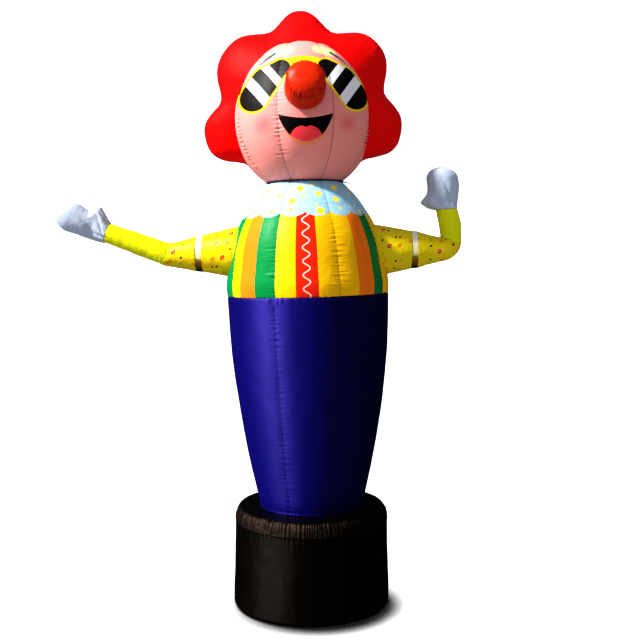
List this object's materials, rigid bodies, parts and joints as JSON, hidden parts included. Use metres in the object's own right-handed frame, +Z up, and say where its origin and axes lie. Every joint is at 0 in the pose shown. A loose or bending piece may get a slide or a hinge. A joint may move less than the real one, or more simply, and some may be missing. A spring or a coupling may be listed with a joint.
{
  "type": "inflatable air dancer",
  "caption": "Free-standing inflated clown figure on a round black base, with a striped shirt, lobed hair, a round nose and raised arms ending in mittens.",
  "frame": {"origin": "middle of the base's flat underside, on the floor", "axes": "+Z up along the figure, the face looks along -Y, +X to the figure's left hand, which is the right arm in a front view"},
  "size_m": [1.6786, 0.7313, 2.4493],
  "materials": {
    "black_nylon": "satin coated nylon",
    "blue_nylon": "satin coated nylon",
    "printed_nylon": "satin coated nylon, printed",
    "pink_nylon": "satin coated nylon, printed",
    "red_nylon": "satin coated nylon",
    "nose_nylon": "satin coated nylon",
    "yellow_nylon": "satin coated nylon",
    "white_nylon": "satin coated nylon",
    "armband_film": "gloss",
    "dark_binding": "matt binding tape"
  },
  "bodies": {
    "root": {"drum_wall": "black_nylon", "drum_band": "black_nylon", "drum_top": "black_nylon", "trousers": "blue_nylon", "shirt": "printed_nylon", "neck_binding": "dark_binding", "head": "pink_nylon", "hair": "red_nylon", "nose_band": "nose_nylon", "nose_dome": "nose_nylon", "left_sleeve": "yellow_nylon", "left_armband": "armband_film", "left_cuff": "yellow_nylon", "left_forearm": "yellow_nylon", "left_mitten": "white_nylon", "right_sleeve": "yellow_nylon", "right_armband": "armband_film", "right_cuff": "yellow_nylon", "right_forearm": "yellow_nylon", "right_mitten": "white_nylon"}
  },
  "joints": []
}
